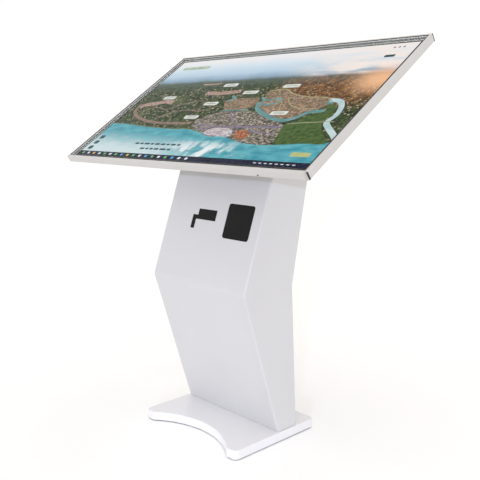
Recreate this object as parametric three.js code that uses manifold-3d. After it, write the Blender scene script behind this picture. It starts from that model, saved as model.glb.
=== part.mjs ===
// Floor-standing touchscreen kiosk with a boomerang-shaped column, in millimetres.
// +Z is up, the visitor stands on the -Y side, and the floor is Z = 0 under the middle of the screen.
import * as THREE from 'three';
import { mergeVertices } from 'three/addons/utils/BufferGeometryUtils.js';
import Module from 'manifold-3d';

const wasm = await Module();
wasm.setup();

// Driving dimensions: screen head
const PICTURE_W = 941.2;
const PICTURE_H = 529.4;
const MASK_W = 14;
const LIP_W = 10;
const GLASS_DROP = 5;
const RAIL_DEPTH = 21;
const HEAD_TILT = THREE.MathUtils.degToRad(34.5);
const FRONT_EDGE_Z = 793;
const GLASS_T = 4;
const COVER_DEPTH = 51;
const COVER_RIM = 20;
const COVER_SLOPE = 25;
const CORNER_CUT = 6;
const INSERT_T = 2.6;
const STATUS_X = -10;

// Driving dimensions: column
const COLUMN_W = 392;
const SHEET = 2;
const BEND_Z = 451;
const BEND_RADIUS = 25;
const FRONT_BEND_Y = -140;
const FRONT_FOOT_Y = -3;
const FRONT_LEAN = THREE.MathUtils.degToRad(19.2);
const BACK_BEND_Y = 47;
const BACK_FOOT_Y = 70;
const BACK_LEAN = THREE.MathUtils.degToRad(11.2);

// Driving dimensions: base and feet
const BASE_W = 400;
const BASE_FRONT_Y = -174;
const BASE_BACK_Y = 146;
const BASE_TOP_Z = 29;
const BASE_CORNER = 16;
const FLOOR_GAP = 3;
const ARC_R = 257;
const ARC_DEPTH = 60;
const COVER_WALL = 2.5;
const BALLAST_T = 12;
const FOOT_PAD_R = 18;
const FOOT_STEM_R = 5;
const FEET = { fl: [-172, -145], fr: [172, -145], bl: [-170, 116], br: [170, 116] };

// Driving dimensions: rear door and its hardware, measured up the lower rear face
const SILL_TOP = 96;
const DOOR_W = 340;
const DOOR_BOTTOM = 99;
const DOOR_TOP = 395;
const DOOR_DEPTH = 14;
const DOOR_GAP = 3;
const STILE_DEPTH = 15;
const HEADER_START = 398;
const HEADER_RISE = 25;
const HINGE_RISE = 5;
const KNUCKLE_R = 4.4;
const PIN_R = 2;
const HINGE_L = 60;
const HINGE_V = { lower: 150, upper: 344 };
const LOCK_X = 150;
const LOCK_V = 247;
const LOCK_R = 9;
const CAM_REACH = 38;
const CAM_BACK = 17.8;

// Driving dimensions: service sockets in the rear sill
const INLET = [-100, 52];
const BUTTON = [-30, 52];
const NETWORK = [20, 52];
const BUTTON_R = 7.5;

// Driving dimensions: front windows, measured up the upper front face from the bend
const READER = { x0: 59.5, x1: 161.5, v0: 140.5, v1: 239, r: 8 };
const SENSOR = { x0: -60, x1: 17, v0: 182.5, v1: 213.5, armTop: 195, armX: -81, legX: -65.5, legV: 154.5 };
const WINDOW_T = 3;

// Driving dimensions: fan behind the upper rear panel
const FAN_V = 200;
const FAN_W = 92;
const FAN_T = 25;
const FAN_BORE = 43;
const HUB_R = 17.5;
const BLADES = 7;

const GAP = 0.3;
const HEAD_W = PICTURE_W + 2 * (MASK_W + LIP_W);
const HEAD_H = PICTURE_H + 2 * (MASK_W + LIP_W);
const HEAD_SIN = Math.sin(HEAD_TILT);
const HEAD_COS = Math.cos(HEAD_TILT);
const HEAD_FRONT_Y = -(HEAD_H * HEAD_COS + RAIL_DEPTH * HEAD_SIN) / 2;
const COLUMN_FOOT_Z = BASE_TOP_Z + GAP;
const HALF_W = COLUMN_W / 2;
const INNER_HALF_W = HALF_W - SHEET - GAP * 2;

// ---------------------------------------------------------------- solids

function toSolid(geometry) {
  const bare = geometry.clone();
  bare.deleteAttribute('normal');
  bare.deleteAttribute('uv');
  const merged = mergeVertices(bare, 1e-4);
  return new wasm.Manifold(new wasm.Mesh({
    numProp: 3,
    vertProperties: new Float32Array(merged.attributes.position.array),
    triVerts: new Uint32Array(merged.index.array),
  }));
}

function toGeometry(solid) {
  const mesh = solid.getMesh();
  const geometry = new THREE.BufferGeometry();
  geometry.setAttribute('position', new THREE.BufferAttribute(new Float32Array(mesh.vertProperties), 3));
  geometry.setIndex(new THREE.BufferAttribute(new Uint32Array(mesh.triVerts), 1));
  return geometry;
}

function cut(body, ...tools) {
  return toGeometry(tools.reduce((solid, tool) => solid.subtract(toSolid(tool)), toSolid(body)));
}

function join(...parts) {
  return toGeometry(parts.map(toSolid).reduce((solid, part) => solid.add(part)));
}

function block(x0, x1, y0, y1, z0, z1) {
  const box = new THREE.BoxGeometry(x1 - x0, y1 - y0, z1 - z0);
  return box.translate((x0 + x1) / 2, (y0 + y1) / 2, (z0 + z1) / 2);
}

function outline(points) {
  return new THREE.Shape(points.map(([x, y]) => new THREE.Vector2(x, y)));
}

function roundedOutline(x0, x1, y0, y1, r) {
  const shape = new THREE.Shape();
  shape.moveTo(x0 + r, y0);
  shape.lineTo(x1 - r, y0);
  shape.absarc(x1 - r, y0 + r, r, -Math.PI / 2, 0);
  shape.lineTo(x1, y1 - r);
  shape.absarc(x1 - r, y1 - r, r, 0, Math.PI / 2);
  shape.lineTo(x0 + r, y1);
  shape.absarc(x0 + r, y1 - r, r, Math.PI / 2, Math.PI);
  shape.lineTo(x0, y0 + r);
  shape.absarc(x0 + r, y0 + r, r, Math.PI, Math.PI * 1.5);
  return shape;
}

// Outline in the XY plane, thickened from z0 to z1.
function slab(shape, z0, z1, curveSegments = 5) {
  const options = { depth: z1 - z0, bevelEnabled: false, curveSegments };
  return new THREE.ExtrudeGeometry(shape, options).translate(0, 0, z0);
}

// Outline given as (y, z) points, thickened along X.
function alongX(points, x0, x1) {
  const turn = new THREE.Matrix4().makeBasis(
    new THREE.Vector3(0, 1, 0), new THREE.Vector3(0, 0, 1), new THREE.Vector3(1, 0, 0));
  return slab(outline(points), x0, x1).applyMatrix4(turn);
}

// Outline given as (x, z) points, thickened along Y.
function alongY(points, y0, y1) {
  return slab(outline(points), -y1, -y0).rotateX(Math.PI / 2);
}

// Turned piece with its axis along Z, from (radius, z) points that start and end on the axis.
function turned(points, segments = 24) {
  const profile = points.map(([r, z]) => new THREE.Vector2(r, z));
  return new THREE.LatheGeometry(profile, segments).rotateX(Math.PI / 2);
}

function rod(r, z0, z1, segments = 24) {
  return turned([[0, z0], [r, z0], [r, z1], [0, z1]], segments);
}

// Box whose lower face is drawn in by `slope` on all four sides.
function taperedBlock(x0, x1, y0, y1, z0, z1, slope) {
  const box = block(x0, x1, y0, y1, z0, z1);
  const position = box.attributes.position;
  const middle = (z0 + z1) / 2;
  for (let i = 0; i < position.count; i += 1) {
    if (position.getZ(i) < middle) {
      position.setX(i, position.getX(i) + slope * (position.getX(i) < (x0 + x1) / 2 ? 1 : -1));
      position.setY(i, position.getY(i) + slope * (position.getY(i) < (y0 + y1) / 2 ? 1 : -1));
    }
  }
  return box;
}

// ---------------------------------------------------------------- column profile, in (y, z)

const frontLow = { y: FRONT_BEND_Y, k: (FRONT_BEND_Y - FRONT_FOOT_Y) / (BEND_Z - BASE_TOP_Z), inward: 1 };
const frontHigh = { y: FRONT_BEND_Y, k: Math.tan(FRONT_LEAN), inward: 1 };
const backLow = { y: BACK_BEND_Y, k: (BACK_BEND_Y - BACK_FOOT_Y) / (BEND_Z - BASE_TOP_Z), inward: -1 };
const backHigh = { y: BACK_BEND_Y, k: Math.tan(BACK_LEAN), inward: -1 };

// Point at height z on a face line that is set back by `depth` into the column.
function faceAt(line, z, depth = 0) {
  return [line.y + line.k * (z - BEND_Z) + line.inward * depth * Math.hypot(1, line.k), z];
}

// Point where a face line meets the plane that lies `drop` below the screen's top rim.
function faceAtHead(line, drop, depth = 0) {
  const shift = line.y + line.inward * depth * Math.hypot(1, line.k) - line.k * BEND_Z;
  const rise = FRONT_EDGE_Z * HEAD_COS + HEAD_SIN * (shift - HEAD_FRONT_Y) - drop;
  return faceAt(line, rise / (HEAD_COS - HEAD_SIN * line.k), depth);
}

const SHELL_TOP_DROP = COVER_DEPTH + 2 * GAP;

// Front profile from foot to head, with the large bend as an arc.
function frontProfile(depth) {
  const slantLow = Math.hypot(1, frontLow.k);
  const slantHigh = Math.hypot(1, frontHigh.k);
  const rise = BEND_RADIUS * (slantHigh - slantLow) / (frontLow.k - frontHigh.k);
  const [centreY, centreZ] = faceAt(frontLow, BEND_Z + rise, BEND_RADIUS);
  const from = Math.PI - Math.atan(frontLow.k);
  const to = Math.PI - Math.atan(frontHigh.k);
  const steps = 6;
  const points = [faceAt(frontLow, COLUMN_FOOT_Z, depth)];
  for (let i = 0; i <= steps; i += 1) {
    const angle = from + (to - from) * i / steps;
    const radius = BEND_RADIUS - depth;
    points.push([centreY + radius * Math.cos(angle), centreZ + radius * Math.sin(angle)]);
  }
  points.push(faceAtHead(frontHigh, SHELL_TOP_DROP, depth));
  return points;
}

function backCrease(depth) {
  const rise = depth * (Math.hypot(1, backHigh.k) - Math.hypot(1, backLow.k)) / (backHigh.k - backLow.k);
  return faceAt(backLow, BEND_Z + rise, depth);
}

// ---------------------------------------------------------------- finishes and placing

function finish(color, roughness, metalness) {
  return { color, roughness, metalness };
}

const POWDER_WHITE = finish(0xe4e4e8, 0.38, 0.0);
const ALUMINIUM = finish(0xd6d3ce, 0.36, 0.85);
const BLACK_PLASTIC = finish(0x121214, 0.55, 0.0);
const BLACK_ACRYLIC = finish(0x08080a, 0.12, 0.0);
const SCREEN_GLASS = finish(0x9fb4b8, 0.06, 0.0);
const LCD = finish(0x31414a, 0.2, 0.0);
const ZINC_STEEL = finish(0xa7a9ab, 0.42, 0.9);
const DARK_STEEL = finish(0x4d5053, 0.5, 0.85);
const CHROME = finish(0xd9d9dc, 0.15, 1.0);
const CIRCUIT = finish(0x1f5a3a, 0.55, 0.0);
const RUBBER = finish(0x1b1b1b, 0.85, 0.0);

const kiosk = new THREE.Group();

function frameAt(origin, xAxis, yAxis, zAxis) {
  const frame = new THREE.Group();
  const turn = new THREE.Matrix4().makeBasis(
    new THREE.Vector3(...xAxis), new THREE.Vector3(...yAxis), new THREE.Vector3(...zAxis));
  frame.quaternion.setFromRotationMatrix(turn);
  frame.position.set(...origin);
  frame.updateMatrixWorld(true);
  kiosk.add(frame);
  return frame;
}

// Flat working frame on a column face: X across, Y up the face, Z straight out of it.
function faceFrame(line, z) {
  const slant = Math.hypot(1, line.k);
  const side = line.inward;
  const [y] = faceAt(line, z);
  const up = [0, line.k / slant, 1 / slant];
  const outward = [0, -side / slant, side * line.k / slant];
  return frameAt([0, y, z], [side, 0, 0], up, outward);
}

const head = frameAt(
  [0, HEAD_FRONT_Y, FRONT_EDGE_Z], [1, 0, 0], [0, HEAD_COS, HEAD_SIN], [0, -HEAD_SIN, HEAD_COS]);
const frontUpper = faceFrame(frontHigh, BEND_Z);
const frontLower = faceFrame(frontLow, BASE_TOP_Z);
const rearUpper = faceFrame(backHigh, BEND_Z);
const rearLower = faceFrame(backLow, BASE_TOP_Z);

function place(frame, name, geometry, look) {
  const mesh = new THREE.Mesh(geometry, new THREE.MeshStandardMaterial(look));
  mesh.name = name;
  frame.add(mesh);
  return mesh;
}

// ---------------------------------------------------------------- screen head

// Rail section: u runs inward from the outer face, w is height, 0 at the top rim.
const RAIL_WALL = LIP_W - 2.1;
const LIP_T = 1.2;
const RAIL_SECTION = [
  [0, -RAIL_DEPTH], [RAIL_WALL, -RAIL_DEPTH], [RAIL_WALL, -LIP_T], [LIP_W, -LIP_T], [LIP_W, 0], [0, 0]];
const STRIP_SECTION = [
  [RAIL_WALL + GAP, GAP - GLASS_DROP], [LIP_W, GAP - GLASS_DROP],
  [LIP_W, -LIP_T - GAP], [RAIL_WALL + GAP, -LIP_T - GAP]];

// Large block with one face on the 45 degree mitre at the end of a rail of this length.
function mitreTool(length, side, clearance) {
  const big = 60;
  const tool = block(0, big, -big, big, -big, big);
  return tool.rotateZ(Math.PI / 2 - side * Math.PI / 4).translate(side * (length / 2 - clearance), 0, 0);
}

// Block that takes off the sharp outer corner at the end of a rail.
function cornerTool(length, side) {
  const tool = block(-CORNER_CUT / Math.SQRT2, CORNER_CUT, -20, 20, -40, 10);
  return tool.rotateZ(side * Math.PI / 4 - Math.PI / 2).translate(side * length / 2, 0, 0);
}

// Straight profile with mitred ends, its outer face on y = 0 and its length centred on x = 0.
function mitredLength(section, length, withCorners) {
  const bar = alongX(section, -length / 2, length / 2);
  const tools = [-1, 1].map((side) => mitreTool(length, side, GAP / 2));
  if (withCorners) {
    tools.push(cornerTool(length, -1), cornerTool(length, 1));
  }
  return cut(bar, ...tools);
}

// The four sides of the head: name, length, turn about the normal, and middle of the outer edge.
const HEAD_SIDES = [
  ['front', HEAD_W, 0, 0, 0],
  ['right', HEAD_H, Math.PI / 2, HEAD_W / 2, HEAD_H / 2],
  ['back', HEAD_W, Math.PI, 0, HEAD_H],
  ['left', HEAD_H, -Math.PI / 2, -HEAD_W / 2, HEAD_H / 2],
];
const STATUS = { x0: STATUS_X - 9, x1: STATUS_X + 9, y0: 3.5, y1: 6.5, depth: 1 };

for (const [side, length, turn, x, y] of HEAD_SIDES) {
  let rail = mitredLength(RAIL_SECTION, length, true);
  if (side === 'front') {
    const { x0, x1, y0, y1, depth } = STATUS;
    rail = cut(rail, block(x0 - GAP, x1 + GAP, y0 - GAP, y1 + GAP, -depth - GAP, 1));
  }
  const strip = mitredLength(STRIP_SECTION, length, false);
  for (const [name, geometry, look] of [
    ['frame_rail', rail, ALUMINIUM],
    ['ir_strip', strip, BLACK_ACRYLIC]]) {
    const mesh = place(head, `${name}_${side}`, geometry, look);
    mesh.rotation.z = turn;
    mesh.position.set(x, y, 0);
  }
}

const statusWindow = block(STATUS.x0, STATUS.x1, STATUS.y0, STATUS.y1, -STATUS.depth, 0);
place(head, 'status_window', statusWindow, BLACK_PLASTIC);

for (const [name, x, y, turn] of [
  ['fl', -HEAD_W / 2, 0, 0], ['fr', HEAD_W / 2, 0, Math.PI / 2],
  ['br', HEAD_W / 2, HEAD_H, Math.PI], ['bl', -HEAD_W / 2, HEAD_H, -Math.PI / 2]]) {
  const near = CORNER_CUT - GAP - INSERT_T;
  const far = CORNER_CUT - 2 * GAP;
  const strip = slab(outline([[near, 0], [far, 0], [0, far], [0, near]]), -RAIL_DEPTH, 0);
  const mesh = place(head, `corner_insert_${name}`, strip, BLACK_PLASTIC);
  mesh.rotation.z = turn;
  mesh.position.set(x, y, 0);
}

// Rectangle set in from the head's outer edge by `inset`, between two depths.
function headSlab(inset, top, bottom) {
  return block(inset - HEAD_W / 2, HEAD_W / 2 - inset, inset, HEAD_H - inset, -bottom, -top);
}

const GLASS_INSET = RAIL_WALL + GAP;
const LCD_TOP = GLASS_DROP + GLASS_T + GAP;
const LCD_BOTTOM = RAIL_DEPTH - 3;
const TRAY_BOTTOM = 30;
place(head, 'touch_glass', headSlab(GLASS_INSET, GLASS_DROP, GLASS_DROP + GLASS_T), SCREEN_GLASS);
place(head, 'lcd_panel', headSlab(LIP_W + MASK_W - 6, LCD_TOP, LCD_BOTTOM), LCD);
place(head, 'backlight_tray', headSlab(LIP_W + MASK_W + 10, LCD_BOTTOM + GAP, TRAY_BOTTOM), ZINC_STEEL);

const CABLE_HOLE = { x: 0, y: 360, r: 24 };

const VENT_ROW_X = 320;
const VENT_PITCH = 16;
const VENTS = 9;
const VENT_Y = [250, 330];

function makeRearCover() {
  const half = HEAD_W / 2;
  const rim = headSlab(GLASS_INSET, RAIL_DEPTH - SHEET, RAIL_DEPTH);
  const outer = taperedBlock(
    COVER_RIM - half, half - COVER_RIM, COVER_RIM, HEAD_H - COVER_RIM,
    -COVER_DEPTH, 0.5 - RAIL_DEPTH, COVER_SLOPE);
  const inset = COVER_RIM + SHEET + 0.5;
  const inner = taperedBlock(
    inset - half, half - inset, inset, HEAD_H - inset, SHEET - COVER_DEPTH, 4 - RAIL_DEPTH, COVER_SLOPE);
  const vents = [];
  for (let i = 0; i < VENTS; i += 1) {
    for (const side of [-1, 1]) {
      const x = side * VENT_ROW_X + (i - (VENTS - 1) / 2) * VENT_PITCH;
      vents.push(block(x - 2, x + 2, ...VENT_Y, -COVER_DEPTH - 1, -COVER_DEPTH + 4));
    }
  }
  const hole = rod(CABLE_HOLE.r, -COVER_DEPTH - 1, -COVER_DEPTH + 4)
    .translate(CABLE_HOLE.x, CABLE_HOLE.y, 0);
  return cut(join(rim, outer), inner, hole, ...vents);
}

place(head, 'rear_cover', makeRearCover(), POWDER_WHITE);

function makeControllerBoard() {
  const face = 3 - COVER_DEPTH + SHEET;
  // Each chip as x from and to, y from and to, and its rise above the cover.
  const chips = [
    [-150, -110, 150, 190, 7], [-90, -70, 160, 200, 5],
    [-60, 10, 130, 150, 9], [-170, -130, 205, 225, 10]];
  const parts = chips.map(([x0, x1, y0, y1, rise]) => block(x0, x1, y0, y1, face + 1, face + rise));
  return join(block(-180, 20, 120, 240, face, face + 1.6), ...parts);
}

place(head, 'controller_board', makeControllerBoard(), CIRCUIT);

// ---------------------------------------------------------------- column shell

function readerOutline(grow) {
  const { x0, x1, v0, v1, r } = READER;
  return roundedOutline(x0 - grow, x1 + grow, v0 - grow, v1 + grow, r + grow);
}

function sensorOutline(grow) {
  const s = SENSOR;
  return outline([
    [s.armX - grow, s.legV - grow], [s.legX + grow, s.legV - grow], [s.legX + grow, s.v0 - grow],
    [s.x1 + grow, s.v0 - grow], [s.x1 + grow, s.v1 + grow], [s.x0 - grow, s.v1 + grow],
    [s.x0 - grow, s.armTop + grow], [s.armX - grow, s.armTop + grow]]);
}

function makeFrontPanel() {
  const strip = alongX([...frontProfile(0), ...frontProfile(SHEET).reverse()], -HALF_W, HALF_W);
  const openings = [readerOutline(GAP), sensorOutline(GAP)];
  const tools = openings.map((shape) => slab(shape, -10, 10).applyMatrix4(frontUpper.matrixWorld));
  return cut(strip, ...tools);
}

place(kiosk, 'front_panel', makeFrontPanel(), POWDER_WHITE);

const SIDE_PROFILE = [
  ...frontProfile(SHEET + GAP),
  faceAtHead(backHigh, SHELL_TOP_DROP),
  backCrease(0),
  faceAt(backLow, COLUMN_FOOT_Z)];
place(kiosk, 'side_panel_left', alongX(SIDE_PROFILE, -HALF_W, SHEET - HALF_W), POWDER_WHITE);
place(kiosk, 'side_panel_right', alongX(SIDE_PROFILE, HALF_W - SHEET, HALF_W), POWDER_WHITE);

function makeRearHeader() {
  const low = BASE_TOP_Z + HEADER_START / Math.hypot(1, backLow.k);
  const high = BEND_Z + HEADER_RISE * Math.cos(BACK_LEAN);
  return alongX([
    faceAt(backLow, low, SHEET), backCrease(SHEET), faceAt(backHigh, high, SHEET),
    faceAt(backHigh, high), backCrease(0), faceAt(backLow, low)].reverse(), -INNER_HALF_W, INNER_HALF_W);
}

place(kiosk, 'rear_header', makeRearHeader(), POWDER_WHITE);

function makeRearUpperPanel() {
  const [, topZ] = faceAtHead(backHigh, SHELL_TOP_DROP);
  const top = (topZ - BEND_Z) / Math.cos(BACK_LEAN) - 2 * SHEET;
  const plate = block(-INNER_HALF_W, INNER_HALF_W, HEADER_RISE + GAP, top, -SHEET, 0);
  const slots = [];
  for (let i = -5; i <= 5; i += 1) {
    const halfLength = Math.sqrt(40 ** 2 - (i * 7) ** 2);
    slots.push(block(i * 7 - 2, i * 7 + 2, FAN_V - halfLength, FAN_V + halfLength, -SHEET - 1, 1));
  }
  return cut(plate, ...slots);
}

place(rearUpper, 'rear_upper_panel', makeRearUpperPanel(), POWDER_WHITE);

// ---------------------------------------------------------------- rear sill with its sockets

function makeRearSill() {
  const plate = block(-INNER_HALF_W, INNER_HALF_W, GAP, SILL_TOP, -SHEET, 0);
  const [inletX, inletV] = INLET;
  const [buttonX, buttonV] = BUTTON;
  const [netX, netV] = NETWORK;
  return cut(
    plate,
    block(inletX - 24, inletX + 24, inletV - 14, inletV + 14, -5, 5),
    rod(10.4, -5, 5).translate(buttonX, buttonV, 0),
    block(netX - 9, netX + 9, netV - 8, netV + 8, -5, 5));
}

place(rearLower, 'rear_sill', makeRearSill(), POWDER_WHITE);

const ROCKER_X = 14;
const ROCKER_PIVOT = -4;
const ROCKER_THROW = THREE.MathUtils.degToRad(7);

function makePowerInlet() {
  const body = join(
    block(-23.6, 23.6, -13.6, 13.6, -28, 1),
    slab(roundedOutline(-27, 27, -16, 16, 3), GAP, 2.3));
  const pocket = block(-20, 4, -9, 9, -18, 5);
  const switchPocket = block(ROCKER_X - 6.5, ROCKER_X + 6.5, -10, 10, -12, 5);
  const pins = [[-15, 0], [-1, 0], [-8, 4.5]]
    .map(([x, y]) => block(x - 0.8, x + 0.8, y - 2, y + 2, -19, -4));
  return join(cut(body, pocket, switchPocket), ...pins);
}

place(rearLower, 'power_inlet', makePowerInlet(), BLACK_PLASTIC).position.set(...INLET, 0);

function makeRocker() {
  const rise = 0.6 - ROCKER_PIVOT;
  const end = rise + 9 * Math.tan(ROCKER_THROW);
  const section = [[-4, -2], [4, -2], [9, 2], [9, end], [0, rise], [-9, end], [-9, 2]];
  return alongX(section, -6, 6).rotateX(-ROCKER_THROW);
}

place(rearLower, 'rocker_switch', makeRocker(), BLACK_PLASTIC)
  .position.set(INLET[0] + ROCKER_X, INLET[1], ROCKER_PIVOT);

const BEZEL_PROFILE = [
  [BUTTON_R + GAP, -10], [10, -10], [10, GAP], [12, GAP], [12, 1.5], [11, 2.3], [BUTTON_R + GAP, 2.3]];
place(rearLower, 'button_bezel', turned([...BEZEL_PROFILE, BEZEL_PROFILE[0]]), CHROME)
  .position.set(...BUTTON, 0);
const BUTTON_PROFILE = [[0, -14], [5, -14], [5, -8], [BUTTON_R, -8], [BUTTON_R, 3.6], [6.6, 4.4], [0, 4.4]];
place(rearLower, 'service_button', turned(BUTTON_PROFILE), BLACK_PLASTIC).position.set(...BUTTON, 0);

function makeNetworkSocket() {
  const body = join(block(-8.6, 8.6, -7.6, 7.6, -22, 1), block(-11, 11, -10, 10, GAP, 2));
  return cut(body, block(-6, 6, -4, 4.5, -14, 3), block(-3, 3, -6, -3.9, -14, 3));
}

place(rearLower, 'network_socket', makeNetworkSocket(), BLACK_PLASTIC).position.set(...NETWORK, 0);

// ---------------------------------------------------------------- rear door, hinges and lock

const DOOR_EDGE = DOOR_W / 2;
const STILE_EDGE = DOOR_EDGE + DOOR_GAP;
const HINGE_X = -(DOOR_EDGE + DOOR_GAP / 2);

for (const [name, side] of [['left', 1], ['right', -1]]) {
  const section = [
    [STILE_EDGE, -STILE_DEPTH], [STILE_EDGE + SHEET, -STILE_DEPTH], [STILE_EDGE + SHEET, -SHEET],
    [INNER_HALF_W, -SHEET], [INNER_HALF_W, 0], [STILE_EDGE, 0]].map(([x, z]) => [side * x, z]);
  const points = side > 0 ? section : section.reverse();
  place(rearLower, `rear_stile_${name}`, alongY(points, SILL_TOP + GAP, HEADER_START - GAP), POWDER_WHITE);
}

function makeDoor() {
  const edge = DOOR_EDGE;
  return cut(
    block(-edge, edge, DOOR_BOTTOM, DOOR_TOP, -DOOR_DEPTH, 0),
    block(SHEET - edge, edge - SHEET, DOOR_BOTTOM + SHEET, DOOR_TOP - SHEET, -DOOR_DEPTH - 1, -SHEET),
    rod(LOCK_R + 0.6, -5, 5).translate(LOCK_X, LOCK_V, 0));
}

place(rearLower, 'rear_door', makeDoor(), POWDER_WHITE);

// Knuckles along Y around the pin, with the leaf lying on the sheet beside them.
function makeHingeLeaf(side, knuckles) {
  const leaf = block(
    side > 0 ? 2 : -20, side > 0 ? 21 : -2, -HINGE_L / 2, HINGE_L / 2, GAP - HINGE_RISE, 1.6 - HINGE_RISE);
  const parts = [leaf];
  const reliefs = [];
  for (const [y0, y1, owned] of knuckles) {
    if (owned) {
      parts.push(rod(KNUCKLE_R, y0, y1, 16).rotateX(-Math.PI / 2));
      parts.push(block(Math.min(side * 3, 0), Math.max(side * 3, 0), y0, y1, GAP - HINGE_RISE, -1));
    } else {
      reliefs.push(rod(KNUCKLE_R + 0.6, y0 - 0.5, y1 + 0.5, 12).rotateX(-Math.PI / 2));
    }
  }
  reliefs.push(rod(PIN_R + GAP, -HINGE_L, HINGE_L, 12).rotateX(-Math.PI / 2));
  return cut(join(...parts), ...reliefs);
}

const THIRD = HINGE_L / 3;
for (const [level, v] of Object.entries(HINGE_V)) {
  const outerPair = [[-HINGE_L / 2, -THIRD / 2 - 0.2], [THIRD / 2 + 0.2, HINGE_L / 2]];
  const middle = [[0.2 - THIRD / 2, THIRD / 2 - 0.2]];
  const fixedKnuckles = [...outerPair.map((k) => [...k, true]), ...middle.map((k) => [...k, false])];
  const doorKnuckles = [...outerPair.map((k) => [...k, false]), ...middle.map((k) => [...k, true])];
  const pin = rod(PIN_R, -HINGE_L / 2 - 2, HINGE_L / 2 + 2, 12).rotateX(-Math.PI / 2);
  for (const [name, geometry] of [
    [`hinge_leaf_fixed_${level}`, makeHingeLeaf(-1, fixedKnuckles)],
    [`hinge_leaf_door_${level}`, makeHingeLeaf(1, doorKnuckles)],
    [`hinge_pin_${level}`, pin]]) {
    place(rearLower, name, geometry, CHROME).position.set(HINGE_X, v, HINGE_RISE);
  }
}

const LOCK_HEAD_R = 11.5;
const lockBarrel = turned([
  [0, -17.5], [LOCK_R, -17.5], [LOCK_R, GAP], [LOCK_HEAD_R, GAP],
  [LOCK_HEAD_R, 2.2], [LOCK_HEAD_R - 1, 3], [0, 3]]);
place(rearLower, 'lock_cylinder', cut(lockBarrel, block(-0.9, 0.9, -4, 4, 1.5, 4)), CHROME)
  .position.set(LOCK_X, LOCK_V, 0);
const lockCam = slab(roundedOutline(-8, 8, -CAM_REACH, 9, 7.9), -CAM_BACK - 2.5, -CAM_BACK);
place(rearLower, 'lock_cam', lockCam, ZINC_STEEL).position.set(LOCK_X, LOCK_V, 0);

// ---------------------------------------------------------------- front windows and their modules

place(frontUpper, 'reader_window', slab(readerOutline(0), GAP - WINDOW_T, GAP), BLACK_ACRYLIC);
place(frontUpper, 'sensor_plate', slab(sensorOutline(0), GAP - WINDOW_T, GAP), BLACK_ACRYLIC);

function moduleBehind({ x0, x1, v0, v1 }, depth) {
  const grow = 5;
  const flange = block(x0 - grow, x1 + grow, v0 - grow, v1 + grow, -WINDOW_T - 2.4, -WINDOW_T);
  return join(flange, block(x0 + 6, x1 - 6, v0 + 6, v1 - 6, -depth, -WINDOW_T - 1));
}

place(frontUpper, 'reader_module', moduleBehind(READER, 40), BLACK_PLASTIC);
place(frontUpper, 'sensor_module', moduleBehind(SENSOR, 24), BLACK_PLASTIC);

// ---------------------------------------------------------------- fan

function makeFanHousing() {
  const half = FAN_W / 2;
  const bottom = -SHEET - GAP - FAN_T;
  const frame = slab(roundedOutline(-half, half, -half, half, 6), bottom, -SHEET - GAP);
  const ring = cut(frame, rod(FAN_BORE, -60, 5, 32));
  const struts = [0, 1, 2].map((i) => (
    block(0, FAN_BORE + 1, -2, 2, bottom, bottom + 3).rotateZ(i * Math.PI * 2 / 3)));
  return join(ring, ...struts, rod(HUB_R, bottom, bottom + 4), rod(2, bottom, bottom + 14, 16));
}

function makeFanRotor() {
  const top = -SHEET - 2;
  const bottom = -SHEET - FAN_T + 5;
  const blades = [];
  for (let i = 0; i < BLADES; i += 1) {
    const blade = block(HUB_R - 3, FAN_BORE - 1.5, -0.8, 0.8, -9, 9).rotateX(0.9);
    blades.push(blade.translate(0, 0, (top + bottom) / 2).rotateZ(i * 2 * Math.PI / BLADES));
  }
  return cut(join(rod(HUB_R, bottom, top), ...blades), rod(2.4, -SHEET - FAN_T, bottom + 12, 16));
}

place(rearUpper, 'fan_housing', makeFanHousing(), BLACK_PLASTIC).position.set(0, FAN_V, 0);
place(rearUpper, 'fan_rotor', makeFanRotor(), BLACK_PLASTIC).position.set(0, FAN_V, 0);

// ---------------------------------------------------------------- equipment inside the column

const TRAY_X = 140;
const TRAY_Z = -24;
const TRAY_TOP = -2.6;
const TRAY_V = [62, 400];
const SUPPLY_T = 36;
const COMPUTER_T = 40;
place(frontLower, 'equipment_tray', alongY([
  [-TRAY_X, TRAY_Z], [TRAY_X, TRAY_Z], [TRAY_X, TRAY_TOP], [TRAY_X - SHEET, TRAY_TOP],
  [TRAY_X - SHEET, TRAY_Z + SHEET], [SHEET - TRAY_X, TRAY_Z + SHEET],
  [SHEET - TRAY_X, TRAY_TOP], [-TRAY_X, TRAY_TOP]], ...TRAY_V), ZINC_STEEL);
const powerSupply = slab(roundedOutline(-80, 80, 78, 176, 2), TRAY_Z - GAP - SUPPLY_T, TRAY_Z - GAP);
place(frontLower, 'power_supply', powerSupply, ZINC_STEEL);
const mediaComputer = slab(roundedOutline(-95, 95, 214, 392, 8), TRAY_Z - GAP - COMPUTER_T, TRAY_Z - GAP);
place(frontLower, 'media_computer', mediaComputer, BLACK_PLASTIC);

const PLATE_HALF_W = INNER_HALF_W - 4;
const PLATE_BELOW = COVER_DEPTH + 6;
const PLATE_ABOVE = COVER_DEPTH + 1;
place(kiosk, 'top_plate', cut(
  alongX([
    faceAtHead(frontHigh, PLATE_BELOW, 3.5), faceAtHead(backHigh, PLATE_BELOW, 3.5),
    faceAtHead(backHigh, PLATE_ABOVE, 3.5), faceAtHead(frontHigh, PLATE_ABOVE, 3.5)],
  -PLATE_HALF_W, PLATE_HALF_W),
  rod(CABLE_HOLE.r, -COVER_DEPTH - 20, -COVER_DEPTH + 4)
    .translate(CABLE_HOLE.x, CABLE_HOLE.y, 0).applyMatrix4(head.matrixWorld)), ZINC_STEEL);

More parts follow.
